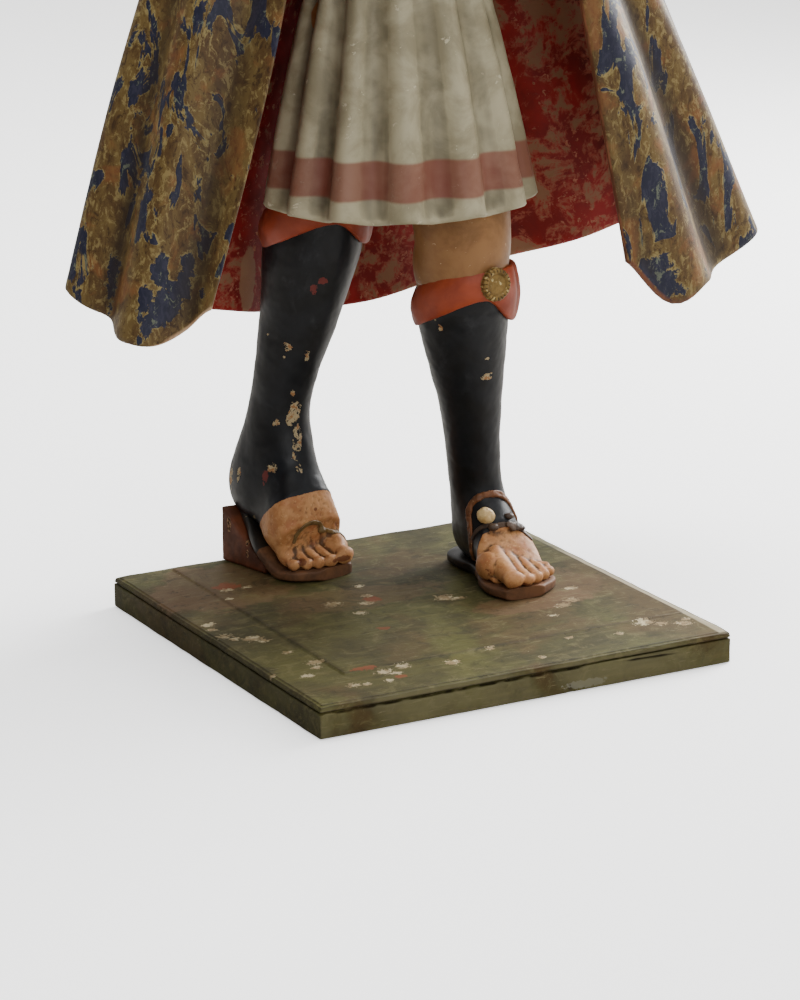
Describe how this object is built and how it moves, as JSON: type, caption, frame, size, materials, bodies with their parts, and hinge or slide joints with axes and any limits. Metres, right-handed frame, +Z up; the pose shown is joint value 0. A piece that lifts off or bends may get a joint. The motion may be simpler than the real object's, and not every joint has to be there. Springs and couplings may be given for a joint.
{
  "type": "girl statue",
  "caption": "Carved and painted wooden figure of a striding girl in a flared mantle and open-toed boots, on a square two-board plinth.",
  "frame": {"origin": "middle of the plinth's underside", "axes": "+Z up; -Y is the way the figure faces; +X is the figure's left side"},
  "size_m": [0.6499, 0.4326, 0.9808],
  "materials": {
    "green_paint": "worn olive green paint on wood",
    "bare_wood": "red-brown stained wood",
    "painted_carving": "worn oil paint and gilding on carved wood",
    "gilding": "worn gilding on carved wood"
  },
  "bodies": {
    "root": {"plinth_board": "green_paint", "plinth_panel": "green_paint", "heel_block": "bare_wood", "figure": "painted_carving", "left_rosette": "gilding", "right_rosette": "gilding"}
  },
  "joints": []
}
